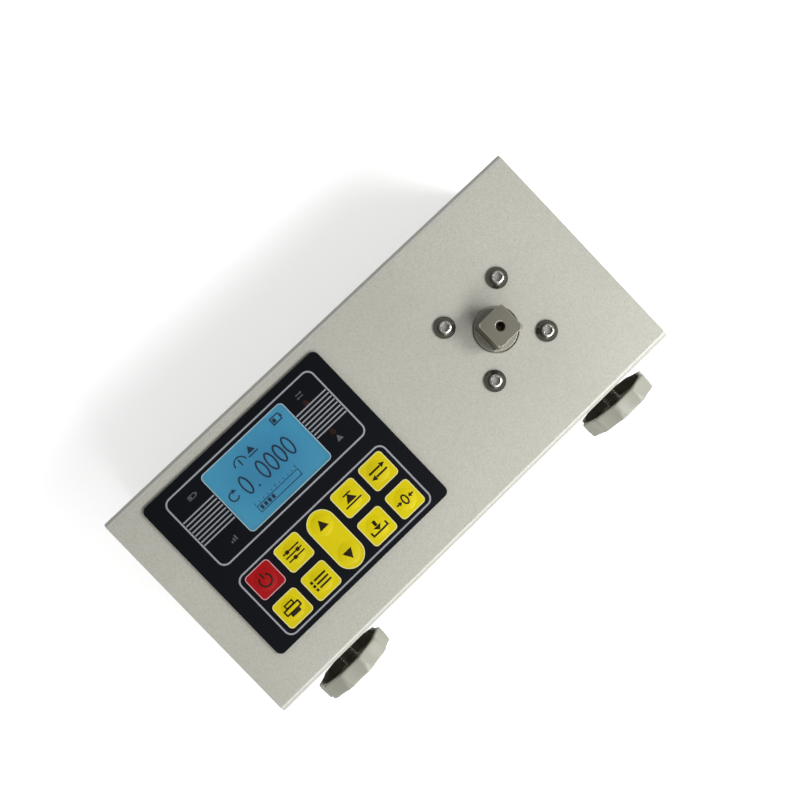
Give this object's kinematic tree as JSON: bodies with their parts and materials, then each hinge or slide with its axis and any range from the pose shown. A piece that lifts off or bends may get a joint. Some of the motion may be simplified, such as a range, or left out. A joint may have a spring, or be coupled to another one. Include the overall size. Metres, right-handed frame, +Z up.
{
  "type": "torque tester",
  "caption": "Bench torque tester: sheet-steel box with a membrane keypad and display, a square drive on a torque transducer and screw-out levelling feet on a long side.",
  "frame": {"origin": "on the table that the rubber feet stand on, under the middle of the part's box", "axes": "+X along the case towards the torque drive, +Y away from the levelling feet, +Z up out of the keypad face"},
  "size_m": [0.25, 0.135, 0.0827],
  "materials": {
    "case_paint": "fine-textured powder coat",
    "zinc_steel": "satin zinc plate",
    "stainless": "satin",
    "spindle_steel": "satin nickel plate",
    "black_steel": "black oxide",
    "housing_alloy": "turned",
    "rubber": "matt",
    "overlay_black": "screen-printed film",
    "circuit_film": "film",
    "key_yellow": "embossed printed film",
    "key_red": "embossed printed film",
    "dome_metal": "bright",
    "tail_film": "film",
    "window_clear": "clear film",
    "display_glass": "lit display",
    "backlight_white": "diffuser",
    "board_green": "solder mask",
    "chip_black": "moulded",
    "capacitor_sleeve": "sleeve",
    "connector_white": "moulded",
    "jack_black": "moulded",
    "port_shell": "tinned shell",
    "lamp_lens": "tinted lens",
    "ribbon_grey": "ribbon",
    "lead_jacket": "jacket",
    "battery_lead_red": "jacket",
    "gauge_foil": "polyimide foil",
    "cell_wrap": "shrink wrap",
    "foot_plastic": "moulded"
  },
  "bodies": {
    "case": {"top_cover": "case_paint", "base_tray": "case_paint", "cover_screws": "zinc_steel", "rubber_feet": "rubber", "rubber_foot_screws": "zinc_steel", "rubber_foot_nuts": "zinc_steel", "keypad_overlay": "overlay_black", "keypad_circuit": "circuit_film", "snap_domes": "dome_metal", "keypad_tail": "tail_film", "display_window": "window_clear", "lcd_bezel": "zinc_steel", "lcd_glass": "display_glass", "lcd_backlight": "backlight_white", "lcd_board": "board_green", "lcd_spacers": "zinc_steel", "lcd_screws": "zinc_steel", "indicator_lamps": "lamp_lens", "display_ribbon": "ribbon_grey", "transducer_housing": "housing_alloy", "support_bearing": "stainless", "torque_transducer": "spindle_steel", "strain_gauges": "gauge_foil", "transducer_bolts": "black_steel", "head_screws": "stainless", "sensor_lead": "lead_jacket", "main_board": "board_green", "board_chips": "chip_black", "board_capacitors": "capacitor_sleeve", "board_connectors": "connector_white", "board_standoffs": "zinc_steel", "board_screws": "zinc_steel", "buzzer": "chip_black", "dc_jack": "jack_black", "usb_port": "port_shell", "battery_holder": "chip_black", "battery_cells": "cell_wrap", "battery_screws": "zinc_steel", "battery_lead": "battery_lead_red", "foot_nuts": "zinc_steel"},
    "power": {"power_key": "key_red"},
    "print": {"print_key": "key_yellow"},
    "set": {"set_key": "key_yellow"},
    "view": {"view_key": "key_yellow"},
    "peak": {"peak_key": "key_yellow"},
    "save": {"save_key": "key_yellow"},
    "unit": {"unit_key": "key_yellow"},
    "zero": {"zero_key": "key_yellow"},
    "rocker": {"rocker_key": "key_yellow"},
    "stud_left": {"foot_stud_left": "zinc_steel"},
    "disc_left": {"foot_disc_left": "foot_plastic"},
    "stud_right": {"foot_stud_right": "zinc_steel"},
    "disc_right": {"foot_disc_right": "foot_plastic"}
  },
  "joints": [
    {"name": "power_press", "type": "slide", "parent": "case", "child": "power", "axis": [0, 0, -1], "range_m": [0, 0.00035], "stiffness_N_per_m": 250},
    {"name": "print_press", "type": "slide", "parent": "case", "child": "print", "axis": [0, 0, -1], "range_m": [0, 0.00035], "stiffness_N_per_m": 250},
    {"name": "set_press", "type": "slide", "parent": "case", "child": "set", "axis": [0, 0, -1], "range_m": [0, 0.00035], "stiffness_N_per_m": 250},
    {"name": "view_press", "type": "slide", "parent": "case", "child": "view", "axis": [0, 0, -1], "range_m": [0, 0.00035], "stiffness_N_per_m": 250},
    {"name": "peak_press", "type": "slide", "parent": "case", "child": "peak", "axis": [0, 0, -1], "range_m": [0, 0.00035], "stiffness_N_per_m": 250},
    {"name": "save_press", "type": "slide", "parent": "case", "child": "save", "axis": [0, 0, -1], "range_m": [0, 0.00035], "stiffness_N_per_m": 250},
    {"name": "unit_press", "type": "slide", "parent": "case", "child": "unit", "axis": [0, 0, -1], "range_m": [0, 0.00035], "stiffness_N_per_m": 250},
    {"name": "zero_press", "type": "slide", "parent": "case", "child": "zero", "axis": [0, 0, -1], "range_m": [0, 0.00035], "stiffness_N_per_m": 250},
    {"name": "rocker_tip", "type": "hinge", "parent": "case", "child": "rocker", "pos_m": [-0.0545, -0.00995, 0.07097], "axis": [1, 0, 0], "range_deg": [-1.35, 1.35], "stiffness_Nm_per_rad": 0.02},
    {"name": "stud_left_travel", "type": "slide", "parent": "case", "child": "stud_left", "axis": [0, 1, 0], "range_m": [-0.006, 0.006]},
    {"name": "disc_left_turn", "type": "hinge", "parent": "stud_left", "child": "disc_left", "pos_m": [-0.0925, -0.059, 0.0375], "axis": [0, 1, 0], "range_deg": [-1728, 1728]},
    {"name": "stud_right_travel", "type": "slide", "parent": "case", "child": "stud_right", "axis": [0, 1, 0], "range_m": [-0.006, 0.006]},
    {"name": "disc_right_turn", "type": "hinge", "parent": "stud_right", "child": "disc_right", "pos_m": [0.0925, -0.059, 0.0375], "axis": [0, 1, 0], "range_deg": [-1728, 1728]}
  ],
  "couplings": [
    {"joint": "disc_left_turn", "follows": "stud_left_travel", "rad_per_m": 5026.5},
    {"joint": "disc_right_turn", "follows": "stud_right_travel", "rad_per_m": 5026.5}
  ]
}
